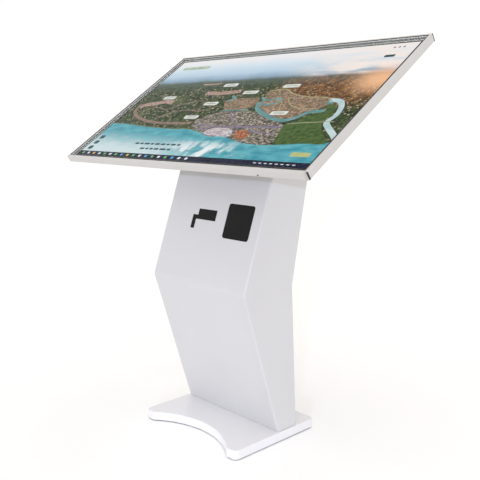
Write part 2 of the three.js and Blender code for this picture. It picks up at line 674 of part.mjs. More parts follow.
const GUSSET_BELOW = 150;
for (const [name, side] of [['left', -1], ['right', 1]]) {
  const plate = alongX([
    faceAtHead(frontHigh, GUSSET_BELOW, 8), faceAtHead(backHigh, GUSSET_BELOW, 8),
    faceAtHead(backHigh, PLATE_BELOW + GAP, 8), faceAtHead(frontHigh, PLATE_BELOW + GAP, 8)], -2, 2);
  place(kiosk, `neck_gusset_${name}`, plate, ZINC_STEEL).position.x = side * (PLATE_HALF_W - 4);
}

// ---------------------------------------------------------------- base

// Base outline with a hollow curved front between two toes.
function baseOutline(inset) {
  const half = BASE_W / 2 - inset;
  const front = BASE_FRONT_Y + inset;
  const back = BASE_BACK_Y - inset;
  const corner = BASE_CORNER - inset / 2;
  const arcR = ARC_R + inset;
  const arcY = BASE_FRONT_Y + ARC_DEPTH - ARC_R;
  const toe = Math.sqrt(arcR ** 2 - (front - arcY) ** 2);
  const shape = new THREE.Shape();
  shape.moveTo(toe, front);
  shape.lineTo(half - corner, front);
  shape.absarc(half - corner, front + corner, corner, -Math.PI / 2, 0);
  shape.lineTo(half, back - corner);
  shape.absarc(half - corner, back - corner, corner, 0, Math.PI / 2);
  shape.lineTo(corner - half, back);
  shape.absarc(corner - half, back - corner, corner, Math.PI / 2, Math.PI);
  shape.lineTo(-half, front + corner);
  shape.absarc(corner - half, front + corner, corner, Math.PI, Math.PI * 1.5);
  shape.lineTo(-toe, front);
  shape.absarc(0, arcY, arcR, Math.atan2(front - arcY, -toe), Math.atan2(front - arcY, toe), true);
  return shape;
}

const BALLAST_TOP = BASE_TOP_Z - COVER_WALL - GAP;
place(kiosk, 'base_cover', cut(
  slab(baseOutline(0), FLOOR_GAP, BASE_TOP_Z, 8),
  slab(baseOutline(COVER_WALL), FLOOR_GAP - 1, BASE_TOP_Z - COVER_WALL, 8)), POWDER_WHITE);
place(kiosk, 'ballast_plate', cut(
  slab(baseOutline(COVER_WALL + 2), BALLAST_TOP - BALLAST_T, BALLAST_TOP, 8),
  ...Object.values(FEET).map(([x, y]) => (
    rod(FOOT_STEM_R + 0.6, 0, BASE_TOP_Z, 16).translate(x, y, 0)))), DARK_STEEL);
const footPlate = block(-PLATE_HALF_W, PLATE_HALF_W, 2, 64, COLUMN_FOOT_Z, COLUMN_FOOT_Z + 6);
place(kiosk, 'column_foot_plate', footPlate, ZINC_STEEL);

for (const [name, [x, y]] of Object.entries(FEET)) {
  const foot = turned([
    [0, 0], [FOOT_PAD_R - 1, 0], [FOOT_PAD_R, 1], [FOOT_PAD_R, 5], [9, 8], [9, 12], [FOOT_STEM_R, 12],
    [FOOT_STEM_R, BALLAST_TOP], [0, BALLAST_TOP]], 16);
  place(kiosk, `foot_${name}`, foot, RUBBER).position.set(x, y, 0);
}

export default kiosk;
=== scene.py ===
"""Floor-standing touchscreen kiosk: finishes, finer metalwork, lit picture, studio and camera.

Lengths are metres in the kiosk's own frame: +Z up, -Y towards the visitor, floor at Z = 0.
"""
import math
import random

import bmesh
import bpy
from mathutils import Matrix, Vector


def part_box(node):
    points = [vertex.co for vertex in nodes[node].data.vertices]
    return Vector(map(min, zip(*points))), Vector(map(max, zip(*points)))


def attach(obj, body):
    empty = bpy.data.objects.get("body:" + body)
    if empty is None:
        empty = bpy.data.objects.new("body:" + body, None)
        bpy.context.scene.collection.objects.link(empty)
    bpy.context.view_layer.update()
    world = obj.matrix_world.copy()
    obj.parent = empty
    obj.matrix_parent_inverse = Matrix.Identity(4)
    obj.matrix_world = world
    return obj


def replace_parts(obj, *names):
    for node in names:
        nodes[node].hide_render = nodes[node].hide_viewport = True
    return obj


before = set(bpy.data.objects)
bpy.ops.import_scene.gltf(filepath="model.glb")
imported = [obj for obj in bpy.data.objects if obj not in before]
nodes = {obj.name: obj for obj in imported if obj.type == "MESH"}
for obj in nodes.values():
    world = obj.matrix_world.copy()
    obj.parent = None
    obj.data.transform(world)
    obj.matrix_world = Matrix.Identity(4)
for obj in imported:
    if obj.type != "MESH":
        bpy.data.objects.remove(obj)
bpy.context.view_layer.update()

MM = 0.001
BODY = "kiosk"


# ------------------------------------------------------------------ node materials

class Number:
    """A value socket; arithmetic on it adds Math nodes."""

    def __init__(self, finish, socket):
        self.finish = finish
        self.socket = socket

    def __add__(self, other):
        return self.finish.math("ADD", self, other)

    __radd__ = __add__

    def __mul__(self, other):
        return self.finish.math("MULTIPLY", self, other)

    __rmul__ = __mul__

    def __sub__(self, other):
        return self.finish.math("SUBTRACT", self, other)

    def __rsub__(self, other):
        return self.finish.math("SUBTRACT", other, self)

    def __truediv__(self, other):
        return self.finish.math("DIVIDE", self, other)

    def __pow__(self, other):
        return self.finish.math("POWER", self, other)

    def __abs__(self):
        return self.finish.math("ABSOLUTE", self)

    def __gt__(self, other):
        return self.finish.math("GREATER_THAN", self, other)

    def between(self, low, high):
        """0 below `low`, 1 above `high`, smooth in between; low may be the greater."""
        made = self.finish.node(
            "MapRange", {"interpolation_type": "SMOOTHSTEP"},
            {"Value": self, "From Min": low, "From Max": high})
        return Number(self.finish, made.outputs["Result"])


class Finish:
    """A node material built around one Principled shader."""

    def __init__(self, name, constants):
        self.material = bpy.data.materials.new(name)
        self.material.use_nodes = True
        self.tree = self.material.node_tree
        self.shader = self.tree.nodes["Principled BSDF"]
        for socket, value in constants.items():
            self.shader.inputs[socket].default_value = value

    def connect(self, value, socket):
        if isinstance(value, Number):
            value = value.socket
        if isinstance(value, bpy.types.NodeSocket):
            self.tree.links.new(value, socket)
        else:
            socket.default_value = value

    def node(self, kind, settings=None, sockets=None):
        """Any node: its type, its settings, then the values or links of its sockets."""
        made = self.tree.nodes.new("ShaderNode" + kind)
        for key, value in (settings or {}).items():
            if key == "stops":
                self.set_stops(made.color_ramp, value)
            else:
                setattr(made, key, value)
        for key, value in (sockets or {}).items():
            self.connect(value, made.inputs[key])
        return made

    def set_stops(self, ramp, stops):
        while len(ramp.elements) < len(stops):
            ramp.elements.new(1.0)
        for element, (place, colour) in zip(ramp.elements, stops):
            element.position = place
            element.color = colour

    def math(self, operation, *values):
        sockets = dict(enumerate(values))
        return Number(self, self.node("Math", {"operation": operation}, sockets).outputs[0])

    def place(self):
        """Position in the object's own space, in metres."""
        return self.node("TexCoord").outputs["Object"]

    def axes(self):
        made = self.node("SeparateXYZ", None, {0: self.place()})
        return [Number(self, made.outputs[axis]) for axis in "XYZ"]

    def stretched(self, scale, where=None):
        """Position scaled by a different amount on each axis."""
        made = self.node("VectorMath", {"operation": "MULTIPLY"}, {0: where or self.place(), 1: scale})
        return made.outputs["Vector"]

    def noise(self, scale, detail=2.0, where=None, roughness=0.5):
        made = self.node("TexNoise", None, {
            "Vector": where or self.place(), "Scale": scale, "Detail": detail, "Roughness": roughness})
        return Number(self, made.outputs["Fac"])

    def cells(self, scale, feature="F1", where=None, distance="EUCLIDEAN"):
        return self.node(
            "TexVoronoi", {"feature": feature, "distance": distance},
            {"Vector": where or self.place(), "Scale": scale})

    def red(self, colour):
        """The red channel of a colour, as a number."""
        return Number(self, self.node("SeparateColor", None, {0: colour}).outputs[0])

    def mix(self, factor, first, second):
        made = self.node("Mix", {"data_type": "RGBA"}, {0: factor, 6: first, 7: second})
        return made.outputs[2]

    def ramp(self, value, stops):
        return self.node("ValToRGB", {"stops": stops}, {0: value}).outputs["Color"]

    def bump(self, height, strength, distance):
        made = self.node("Bump", None, {"Height": height, "Strength": strength, "Distance": distance})
        self.connect(made.outputs["Normal"], self.shader.inputs["Normal"])

    def feed(self, socket, value):
        self.connect(value, self.shader.inputs[socket])


def rgb(red, green, blue):
    """Linear colour from 0 to 255 display values."""
    parts = [channel / 255 for channel in (red, green, blue)]
    return tuple(c / 12.92 if c <= 0.04045 else ((c + 0.055) / 1.055) ** 2.4 for c in parts) + (1.0,)


def powder_white(name, dark, light):
    """Satin gloss white powder coat: fine orange peel, faint mottling in colour and gloss."""
    finish = Finish(name, {"Specular IOR Level": 0.5, "Coat Weight": 0.35, "Coat Roughness": 0.16})
    mottle = finish.noise(7, 3)
    dust = finish.noise(900, 1)
    finish.feed("Base Color", finish.mix(mottle, dark, light))
    finish.feed("Roughness", 0.34 + mottle * 0.06 + dust * 0.04)
    finish.bump(finish.noise(420, 2), 0.05, 0.4 * MM)
    return finish


def rail_aluminium():
    """Satin anodised aluminium with a drawn grain."""
    finish = Finish("rail_aluminium", {"Metallic": 0.3, "Specular IOR Level": 0.5})
    grain = finish.noise(1, 3, finish.stretched((60, 60, 2400)))
    cloud = finish.noise(9, 2)
    finish.feed("Base Color", finish.mix(cloud, rgb(194, 192, 189), rgb(203, 201, 198)))
    finish.feed("Roughness", 0.32 + grain * 0.1)
    finish.bump(grain, 0.04, 0.2 * MM)
    return finish


def moulded_plastic(name, dark, light, roughness, grain_height=0.12):
    """Moulded plastic with a spark-eroded grain."""
    finish = Finish(name, {"Specular IOR Level": 0.45})
    grain = finish.noise(1600, 2)
    finish.feed("Base Color", finish.mix(finish.noise(40, 3), dark, light))
    finish.feed("Roughness", roughness + grain * 0.12)
    finish.bump(grain, grain_height, 0.2 * MM)
    return finish


def black_acrylic():
    """Polished smoked acrylic, a few fine wipe marks."""
    finish = Finish("black_acrylic", {"Specular IOR Level": 0.12})
    wipes = finish.noise(1, 2, finish.stretched((30, 400, 90)))
    finish.feed("Base Color", finish.mix(wipes, rgb(14, 16, 15), rgb(22, 24, 23)))
    finish.feed("Roughness", 0.2 + wipes.between(0.55, 0.8) * 0.12)
    return finish


def screen_glass():
    """Clear glass with an anti-reflective coat and faint finger haze."""
    finish = Finish("screen_glass", {
        "Base Color": (0.97, 0.99, 0.985, 1.0), "Transmission Weight": 1.0, "IOR": 1.07})
    haze = finish.noise(14, 4)
    finish.feed("Roughness", 0.004 + haze.between(0.55, 0.85) * 0.02)
    return finish


def plated_steel():
    """Bright zinc plate with a spangled crystal pattern."""
    finish = Finish("plated_steel", {"Metallic": 0.9})
    spangle = finish.red(finish.cells(90).outputs["Color"])
    finish.feed("Base Color", finish.mix(spangle, rgb(176, 179, 182), rgb(198, 200, 202)))
    finish.feed("Roughness", 0.34 + spangle * 0.14)
    return finish


def bright_chrome():
    """Polished nickel-chrome plate with light handling marks."""
    finish = Finish("bright_chrome", {"Metallic": 1.0})
    marks = finish.noise(160, 4)
    finish.feed("Base Color", finish.mix(marks, rgb(150, 151, 154), rgb(178, 178, 181)))
    finish.feed("Roughness", 0.12 + marks.between(0.5, 0.8) * 0.16)
    return finish


def foot_rubber():
    """Moulded rubber, slightly dusty."""
    finish = Finish("foot_rubber", {"Specular IOR Level": 0.3})
    dust = finish.noise(300, 4)
    finish.feed("Base Color", finish.mix(dust, rgb(26, 26, 27), rgb(58, 57, 55)))
    finish.feed("Roughness", 0.78 + dust * 0.12)
    finish.bump(dust, 0.3, 0.3 * MM)
    return finish


def primer_steel():
    """Cut steel plate under dark primer."""
    finish = Finish("primer_steel", {"Metallic": 0.2})
    blotch = finish.noise(24, 5)
    finish.feed("Base Color", finish.mix(blotch, rgb(58, 60, 63), rgb(82, 84, 86)))
    finish.feed("Roughness", 0.5 + blotch * 0.2)
    finish.bump(finish.noise(500, 3), 0.2, 0.3 * MM)
    return finish


def perforated_steel():
    """Zinc-plated cage with rows of punched round holes, the holes painted near-black as painted shade of
    the dark inside.
    """
    finish = Finish("perforated_steel", {"Metallic": 0.8})
    x, y, z = finish.axes()
    pitch = 6 * MM
    edge_low, edge_high = 0.27, 0.33  # hole edge, in pitches from its centre
    across = finish.math("FRACT", (x + y) / pitch) - 0.5
    up = finish.math("FRACT", z / pitch) - 0.5
    solid = ((across ** 2 + up ** 2) ** 0.5).between(edge_low, edge_high)
    # Painted shade: the holes are coloured near-black for the dark inside seen through them.
    finish.feed("Base Color", finish.mix(solid, rgb(16, 16, 17), rgb(186, 188, 190)))
    finish.feed("Roughness", 0.36 + finish.noise(60, 3) * 0.14)
    finish.bump(solid, 0.6, 0.6 * MM)
    return finish


def ribbed_case():
    """Black anodised casting with cooling ribs; its grooves are painted darker than the crests, as painted
    shade.
    """
    finish = Finish("ribbed_case", {"Metallic": 0.5})
    half_pitch = 4 * MM
    rib_crest_and_painted_shade = (finish.math("PINGPONG", finish.axes()[0], half_pitch) / half_pitch).between(0.3, 0.6)
    # Painted shade: darker colour in the grooves between the ribs, lighter on the crests.
    finish.feed("Base Color", finish.mix(rib_crest_and_painted_shade, rgb(14, 14, 15), rgb(46, 47, 50)))
    finish.feed("Roughness", 0.42 + finish.noise(200, 2) * 0.12)
    finish.bump(rib_crest_and_painted_shade, 0.9, 1.5 * MM)
    return finish


def circuit_board():
    """Green solder mask with copper tracks showing through."""
    finish = Finish("circuit_board", {"Specular IOR Level": 0.6})
    tracks = Number(finish, finish.cells(220, "DISTANCE_TO_EDGE").outputs["Distance"])
    finish.feed("Base Color", finish.mix(tracks.between(0.06, 0.1), rgb(66, 132, 84), rgb(24, 84, 52)))
    finish.feed("Roughness", 0.32 + finish.noise(300) * 0.2)
    return finish


WHITE = powder_white("powder_white", rgb(198, 197, 198), rgb(204, 203, 204))
# The base cover wears the same powder coat in a lighter colour: painted light, for the light that falls on
# its top.
BASE_WHITE_PAINTED_LIGHT = powder_white("powder_white_base_painted_light", rgb(222, 221, 224), rgb(228, 227, 230))
ALUMINIUM = rail_aluminium()
BLACK = moulded_plastic("black_plastic", rgb(20, 20, 22), rgb(30, 30, 32), 0.42)
SMOKED = moulded_plastic("smoked_strip", rgb(206, 206, 204), rgb(218, 218, 216), 0.5, 0)
CAP_GREY = moulded_plastic("cap_grey", rgb(178, 175, 170), rgb(192, 189, 184), 0.4)
MASK_BLACK = moulded_plastic("mask_black", rgb(12, 12, 14), rgb(18, 18, 20), 0.5, 0)
BORDER_GREY = moulded_plastic("border_grey", rgb(186, 187, 184), rgb(196, 197, 194), 0.6, 0)
ACRYLIC = black_acrylic()
GLASS = screen_glass()
ZINC = plated_steel()
CHROME = bright_chrome()
RUBBER = foot_rubber()
PRIMER = primer_steel()
CIRCUIT = circuit_board()
CAGE = perforated_steel()
RIBBED = ribbed_case()


# ------------------------------------------------------------------ placing and mesh helpers

ON_FACE = 0.02 * MM  # points this close to a face's plane belong to it


def face_frame(name, outward):
    """Frame on a node's largest flat face that looks `outward`: X across, Y up the face, Z out of it."""
    mesh = nodes[name].data
    facing = Vector(outward).normalized()
    biggest = max((p for p in mesh.polygons if p.normal.dot(facing) > 0.9), key=lambda p: p.area)
    normal = biggest.normal.normalized()
    across = Vector((0, 1, 0) if abs(normal.x) > 0.7 else (1, 0, 0))
    up = normal.cross(across).normalized()
    if up.z < 0:
        up = -up
    across = up.cross(normal)
    on_face = [v.co for v in mesh.vertices if abs((v.co - biggest.center).dot(normal)) < ON_FACE]
    middle = normal * biggest.center.dot(normal)
    for axis in (across, up):
        reach = [co.dot(axis) for co in on_face]
        middle += axis * (min(reach) + max(reach)) / 2
    return Matrix.Translation(middle) @ Matrix((across, up, normal)).transposed().to_4x4()


def spread(names, axis):
    """Lowest and highest reach of some nodes along an axis."""
    reach = [v.co.dot(axis) for name in names for v in nodes[name].data.vertices]
    return min(reach), max(reach)


def piece(name, points, faces, finish, body=BODY, at=None, sharp=math.radians(32), flat=False):
    """A mesh piece from points and faces, in the frame `at`, riding on a body."""
    mesh = bpy.data.meshes.new(name)
    mesh.from_pydata([tuple(p) for p in points], [], faces)
    if not flat:
        tidy = bmesh.new()
        tidy.from_mesh(mesh)
        bmesh.ops.recalc_face_normals(tidy, faces=tidy.faces)
        tidy.to_mesh(mesh)
        tidy.free()
    mesh.polygons.foreach_set("use_smooth", [True] * len(mesh.polygons))
    mesh.set_sharp_from_angle(angle=sharp)
    mesh.materials.append(finish.material)
    made = bpy.data.objects.new(name, mesh)
    bpy.context.collection.objects.link(made)
    made.matrix_world = at or Matrix.Identity(4)
    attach(made, body)
    return made


def rings_to_faces(rings, size, closed_rings=True):
    """Quads between consecutive rings of `size` points each."""
    faces = []
    for r in range(rings - 1):
        below, above = r * size, (r + 1) * size
        for i in range(size if closed_rings else size - 1):
            j = (i + 1) % size
            faces.append((below + i, below + j, above + j, above + i))
    return faces


def block_faces(size):
    """Faces of a straight block between two outlines of `size` points each."""
    return [*rings_to_faces(2, size), tuple(range(size)), tuple(range(size, 2 * size))]


def turned(profile, steps=24):
    """Points and faces of a turned form from (radius, z) points; a zero radius closes it on the axis.

    A third value of True gives that ring six flats, as in a hexagon socket.
    """
    points, faces, rings = [], [], []
    for radius, z, *hexagon in profile:
        if radius == 0:
            rings.append([len(points)])
            points.append((0, 0, z))
        else:
            rings.append(list(range(len(points), len(points) + steps)))
            for i in range(steps):
                angle = 2 * math.pi * i / steps
                reach = radius
                if hexagon:
                    reach *= math.cos(math.pi / 6) / math.cos(angle % (math.pi / 3) - math.pi / 6)
                points.append((reach * math.cos(angle), reach * math.sin(angle), z))
    for below, above in zip(rings, rings[1:]):
        for i in range(steps):
            j = (i + 1) % steps
            corners = ((below, i), (below, j), (above, j), (above, i))
            faces.append(tuple(dict.fromkeys(ring[k % len(ring)] for ring, k in corners)))
    return points, faces


def arc(centre, radius, start, end, steps):
    """Points of an arc, angles in degrees."""
    angles = [math.radians(start + (end - start) * i / steps) for i in range(steps + 1)]
    return [(centre[0] + radius * math.cos(a), centre[1] + radius * math.sin(a)) for a in angles]


def tag(x, y, width, height):
    """Outline of a rounded rectangle centred on x, y."""
    r = height * 0.3
    corners = ((x + width / 2 - r, y + height / 2 - r, 0), (x - width / 2 + r, y + height / 2 - r, 90),
               (x - width / 2 + r, y - height / 2 + r, 180), (x + width / 2 - r, y - height / 2 + r, 270))
    return [spot for cx, cy, start in corners for spot in arc((cx, cy), r, start, start + 90, 3)]


def prism(outline, bottom, top):
    """Points and faces of an upright block with this outline."""
    return [(x, y, z) for z in (bottom, top) for x, y in outline], block_faces(len(outline))


def merge(shapes):
    """One point and face list from several (points, faces) pairs."""
    points, faces = [], []
    for shape_points, shape_faces in shapes:
        start = len(points)
        points.extend(shape_points)
        faces.extend(tuple(start + i for i in face) for face in shape_faces)
    return points, faces


def moved(shape, offset):
    """The same shape a step away."""
    points, faces = shape
    return [tuple(Vector(p) + Vector(offset)) for p in points], faces


def extent(name, at):
    """Half width and half height of a node seen square-on in the frame `at`."""
    inward = at.inverted()
    spots = [inward @ v.co for v in nodes[name].data.vertices]
    return max(abs(p.x) for p in spots), max(abs(p.y) for p in spots)


def screw(radius):
    """A button-head screw with a hexagon socket."""
    crown, socket = 1.2 * MM, 0.5 * MM
    return turned([
        (radius, -0.3 * MM), (radius, 0.1 * MM), (radius * 0.94, 0.45 * MM), (radius * 0.76, 0.95 * MM),
        (radius * 0.5, crown), (radius * 0.42, crown, True), (radius * 0.4, socket, True), (0, 0.4 * MM)])


def fasteners(name, at, spots, body=BODY, radius=3.2 * MM, finish=ZINC):
    """Screws at the (x, y) spots of a face."""
    piece(name, *merge([moved(screw(radius), (x, y, 0)) for x, y in spots]), finish, body, at)


def soften(name, finish, width=0.6 * MM, segments=3):
    """A carried-over node with broken edges, smooth shading and its finish."""
    node = nodes[name]
    for slot in node.material_slots:
        slot.link = "OBJECT"
        slot.material = finish.material
    weld = node.modifiers.new("weld", "WELD")
    weld.merge_threshold = 0.01 * MM
    flat = node.modifiers.new("flat faces", "DECIMATE")
    flat.decimate_type = "DISSOLVE"
    flat.angle_limit = math.radians(1)
    bevel = node.modifiers.new("broken edges", "BEVEL")
    bevel.width = width
    bevel.segments = segments
    bevel.limit_method = "ANGLE"
    bevel.angle_limit = math.radians(35)
    bevel.harden_normals = False


# ------------------------------------------------------------------ camera and studio

EYE = (1.485, -1.381, 0.9044)
LOOK_DOWN = 9.665  # degrees below the horizon
LOOK_ROUND = 46.4  # degrees to the left of straight back
LENS_MM = 52.86
SENSOR_MM = 36
KEY_FROM = (1.83, -2.34, 1.22)
KEY_TO = (0, 0, 0.8)
BASE_LAMP_FROM = (1.0, -1.9, 1.9)
BASE_LAMP_TO = (0.04, -0.14, 0.03)
FLOOR_HALF = 30


def make_camera():
    """View from the front right, level with the screen head."""
    camera = bpy.data.objects.new("camera", bpy.data.cameras.new("camera"))
    camera.data.sensor_width = SENSOR_MM
    camera.data.lens = LENS_MM
    camera.location = EYE
    camera.rotation_euler = (math.radians(90 - LOOK_DOWN), 0, math.radians(LOOK_ROUND))
    bpy.context.collection.objects.link(camera)
    bpy.context.scene.camera = camera


def make_light(name, kind, at, toward, energy, colour, size, spread_angle=math.pi):
    """A sun of this angular size, or a disc lamp of this width and spread."""
    data = bpy.data.lights.new(name, kind)
    data.energy = energy
    data.color = colour
    if kind == "SUN":
        data.angle = size
    else:
        data.shape = "DISK"
        data.size = size
        data.spread = spread_angle
    lamp = bpy.data.objects.new(name, data)
    lamp.location = at
    lamp.rotation_euler = (Vector(toward) - Vector(at)).to_track_quat("-Z", "Y").to_euler()
    bpy.context.collection.objects.link(lamp)


def make_studio():
    """Soft white surround, a cool key light, a weak lamp on the base and a pale floor."""
    bpy.context.scene.view_settings.view_transform = "Standard"
    world = bpy.data.worlds.new("studio")
    bpy.context.scene.world = world
    world.use_nodes = True
    background = world.node_tree.nodes["Background"]
    background.inputs["Color"].default_value = (1.0, 0.975, 0.945, 1.0)
    background.inputs["Strength"].default_value = 1.06
    make_light("key", "SUN", KEY_FROM, KEY_TO, 1.05, (0.66, 0.75, 1.0), math.radians(1.5))
    make_light(
        "base_lamp", "AREA", BASE_LAMP_FROM, BASE_LAMP_TO, 0.1, (0.88, 0.94, 1.0), 0.3, math.radians(14))

    floor = Finish("studio_floor", {"Specular IOR Level": 0.1})
    floor.feed("Base Color", floor.mix(floor.noise(3, 2), rgb(252, 252, 252), rgb(255, 255, 255)))
    floor.feed("Roughness", 0.9)
    mesh = bpy.data.meshes.new("floor")
    corners = [(x * FLOOR_HALF, y * FLOOR_HALF, 0) for x, y in ((-1, -1), (1, -1), (1, 1), (-1, 1))]
    mesh.from_pydata(corners, [], [(0, 1, 2, 3)])
    mesh.materials.append(floor.material)
    ground = bpy.data.objects.new("floor", mesh)
    bpy.context.collection.objects.link(ground)


make_camera()
make_studio()


# ------------------------------------------------------------------ working frames

SIDES = ("front", "right", "back", "left")
RAILS = [f"frame_rail_{side}" for side in SIDES]
glass_face = face_frame("touch_glass", (0, -0.5, 0.8))
HEAD_UP = glass_face.col[1].to_3d()
HEAD_OUT = glass_face.col[2].to_3d()
HEAD_W = 2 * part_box("frame_rail_right")[1].x
head_low, head_high = spread(RAILS, HEAD_UP)
HEAD_H = head_high - head_low
rim_low, rim_high = spread(RAILS, HEAD_OUT)
RAIL_DEPTH = rim_high - rim_low
# Origin in the middle of the head's front edge, on the top of the rim.
HEAD = glass_face.copy()
HEAD.translation = HEAD_UP * head_low + HEAD_OUT * rim_high

FRONT_UP = (0, -0.9, 0.3)
FRONT_DOWN = (0, -0.9, -0.3)
rear_upper = face_frame("rear_upper_panel", (0, 1, 0))
rear_lower = face_frame("rear_door", (0, 1, 0))


def meet(first, second):
    """The (y, z) point where two face frames' planes cross."""
    a, b = first.col[2], second.col[2]
    c, d = first.translation.dot(a.to_3d()), second.translation.dot(b.to_3d())
    slope = a.y * b.z - a.z * b.y
    return Vector((0, (c * b.z - d * a.z) / slope, (a.y * d - b.y * c) / slope))


# ------------------------------------------------------------------ screen head

LIP = 10 * MM
LIP_T = 1.2 * MM
WALL_T = LIP - 2.1 * MM
CROWN = 3.2 * MM
HEEL = 1.2 * MM
LIP_ROUND = 1 * MM
SEAL_W = 2.2 * MM
JOINT = 0.15 * MM  # half the gap of a mitre
CORNER_T = 1.6 * MM
CORNER_SPLIT = 0.2 * MM  # half the gap between a bumper and its cap
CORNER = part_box("frame_rail_right")[1].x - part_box("frame_rail_front")[1].x


def rail_profile():
    """Closed section of a rail: u inward from the outer face, w up to 0 at the rim."""
    return [
        *arc((HEEL, HEEL - RAIL_DEPTH), HEEL, 270, 180, 4),
        *arc((CROWN, -CROWN), CROWN, 180, 90, 8),
        *arc((LIP - LIP_ROUND, -LIP_ROUND), LIP_ROUND, 90, 0, 4),
        (LIP, -LIP_T), (WALL_T, -LIP_T), (WALL_T, -RAIL_DEPTH)]


def seal_profile():
    """Closed section of the seal: it covers the lip's inner edge and stands just proud of the rim."""
    top, bottom, bevel = 0.08 * MM, -0.1 * MM - LIP_T, 0.5 * MM
    return [
        (LIP - SEAL_W, bottom), (LIP, bottom), (LIP, -bevel), (LIP - bevel, top), (LIP - SEAL_W, top)]


def mitred(section, length):
    """Points and faces of a frame side with this section, mitred and clipped at its corners."""
    chamfer = 2 * CORNER
    points = []
    for end in (-1, 1):
        for u, w in section:
            reach = length / 2 - max(u, chamfer - u) - JOINT
            points.append((end * reach, u, w))
    return points, block_faces(len(section))


def make_rail(side, length, turn, x, y):
    """A rail and the black seal let into its inner lip."""
    at = HEAD @ Matrix.Translation((x, y, 0)) @ Matrix.Rotation(turn, 4, "Z")
    made = piece(f"rail_{side}", *mitred(rail_profile(), length), ALUMINIUM, at=at)
    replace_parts(made, f"frame_rail_{side}")
    piece(f"lip_seal_{side}", *mitred(seal_profile(), length), MASK_BLACK, at=at)


def make_corner(corner, x, y, turn, side):
    """The chamfered end piece of one corner: a black bumper and a pale cap, side by side."""
    at = HEAD @ Matrix.Translation((x, y, 0))
    spin = Matrix.Rotation(math.radians(turn), 2)
    near, split = CORNER / math.sqrt(2), side * CORNER_SPLIT
    far = near + CORNER_T
    span = (0.2 * MM - RAIL_DEPTH, -0.3 * MM)
    bumper, cap = (
        prism([spin @ Vector(spot) for spot in (
            (half_side * split, near), (half_side * side * near, near), (half_side * side * far, far),
            (half_side * split, far))], *span)
        for half_side in (1, -1))
    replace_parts(piece(f"corner_bumper_{corner}", *bumper, BLACK, at=at), f"corner_insert_{corner}")
    piece(f"corner_cap_{corner}", *cap, CAP_GREY, at=at)


def make_status_lens():
    """Small rounded lens let into the front rail."""
    inward = HEAD.inverted()
    spots = [inward @ v.co for v in nodes["status_window"].data.vertices]
    x0, x1, y0, y1 = (end(p[axis] for p in spots) for axis in (0, 1) for end in (min, max))
    outline = tag((x0 + x1) / 2, (y0 + y1) / 2, x1 - x0, y1 - y0)
    lens = piece("status_lens", *prism(outline, -1 * MM, 0.15 * MM), SMOKED, at=HEAD)
    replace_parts(lens, "status_window")


def make_head():
    """Rails, seals, strips and corners, then the screen's layers from the glass back to the cover."""
    half = HEAD_W / 2
    for side, length, turn, x, y in (
            ("front", HEAD_W, 0, 0, 0), ("right", HEAD_H, math.pi / 2, half, HEAD_H / 2),
            ("back", HEAD_W, math.pi, 0, HEAD_H), ("left", HEAD_H, -math.pi / 2, -half, HEAD_H / 2)):
        make_rail(side, length, turn, x, y)
        soften(f"ir_strip_{side}", SMOKED, 0.2 * MM, 2)
    for corner, x, y, turn, side in (
            ("fl", -half, 0, -45, -1), ("fr", half, 0, 45, 1),
            ("br", half, HEAD_H, 135, -1), ("bl", -half, HEAD_H, -135, 1)):
        make_corner(corner, x, y, turn, side)
    soften("touch_glass", GLASS, 0.5 * MM)
    soften("lcd_panel", MASK_BLACK, 0.3 * MM)
    soften("backlight_tray", ZINC, 1 * MM)
    soften("controller_board", CIRCUIT, 0.3 * MM)
    soften("rear_cover", WHITE, 1.5 * MM)
    make_status_lens()


make_head()


# ------------------------------------------------------------------ picture on the screen

MASK = 14 * MM
MASK_LINE = 5 * MM
SHEET_W, SHEET_H = 16, 9  # the picture is laid out on a sheet of this many units, origin at its lower left
PICTURE_W = HEAD_W - 2 * (LIP + MASK)
UNIT = PICTURE_W / SHEET_W
LAYER = 0.025 * MM
lcd_top = max(v.co.dot(HEAD_OUT) for v in nodes["lcd_panel"].data.vertices)
PICTURE = HEAD @ Matrix.Translation((-PICTURE_W / 2, LIP + MASK, lcd_top - rim_high + LAYER))
BAR_H = 0.33  # menu bar, in sheet units


def lit(name):
    """A self-lit picture finish."""
    return Finish(name, {
        "Base Color": (0.004, 0.004, 0.004, 1), "Roughness": 0.5, "Specular IOR Level": 0.0,
        "Emission Strength": 1.0})


def show(finish, colour):
    """Lights the picture with a colour, dimmed a little by the panel's fine grain."""
    grain = finish.noise(2600, 1)
    finish.feed("Emission Color", finish.mix(grain * 0.08, colour, rgb(10, 10, 12)))
    finish.feed("Roughness", 0.45 + grain * 0.1)
    return finish


def sheet(finish):
    """Sheet position as a vector and as its two numbers."""
    spot = finish.stretched((1 / UNIT, 1 / UNIT, 1 / UNIT))
    made = finish.node("SeparateXYZ", None, {0: spot})
    return spot, Number(finish, made.outputs["X"]), Number(finish, made.outputs["Y"])


def stops(*pairs):
    """Ramp stops from (position, display colour) pairs."""
    return [(place, rgb(*colour)) for place, colour in pairs]


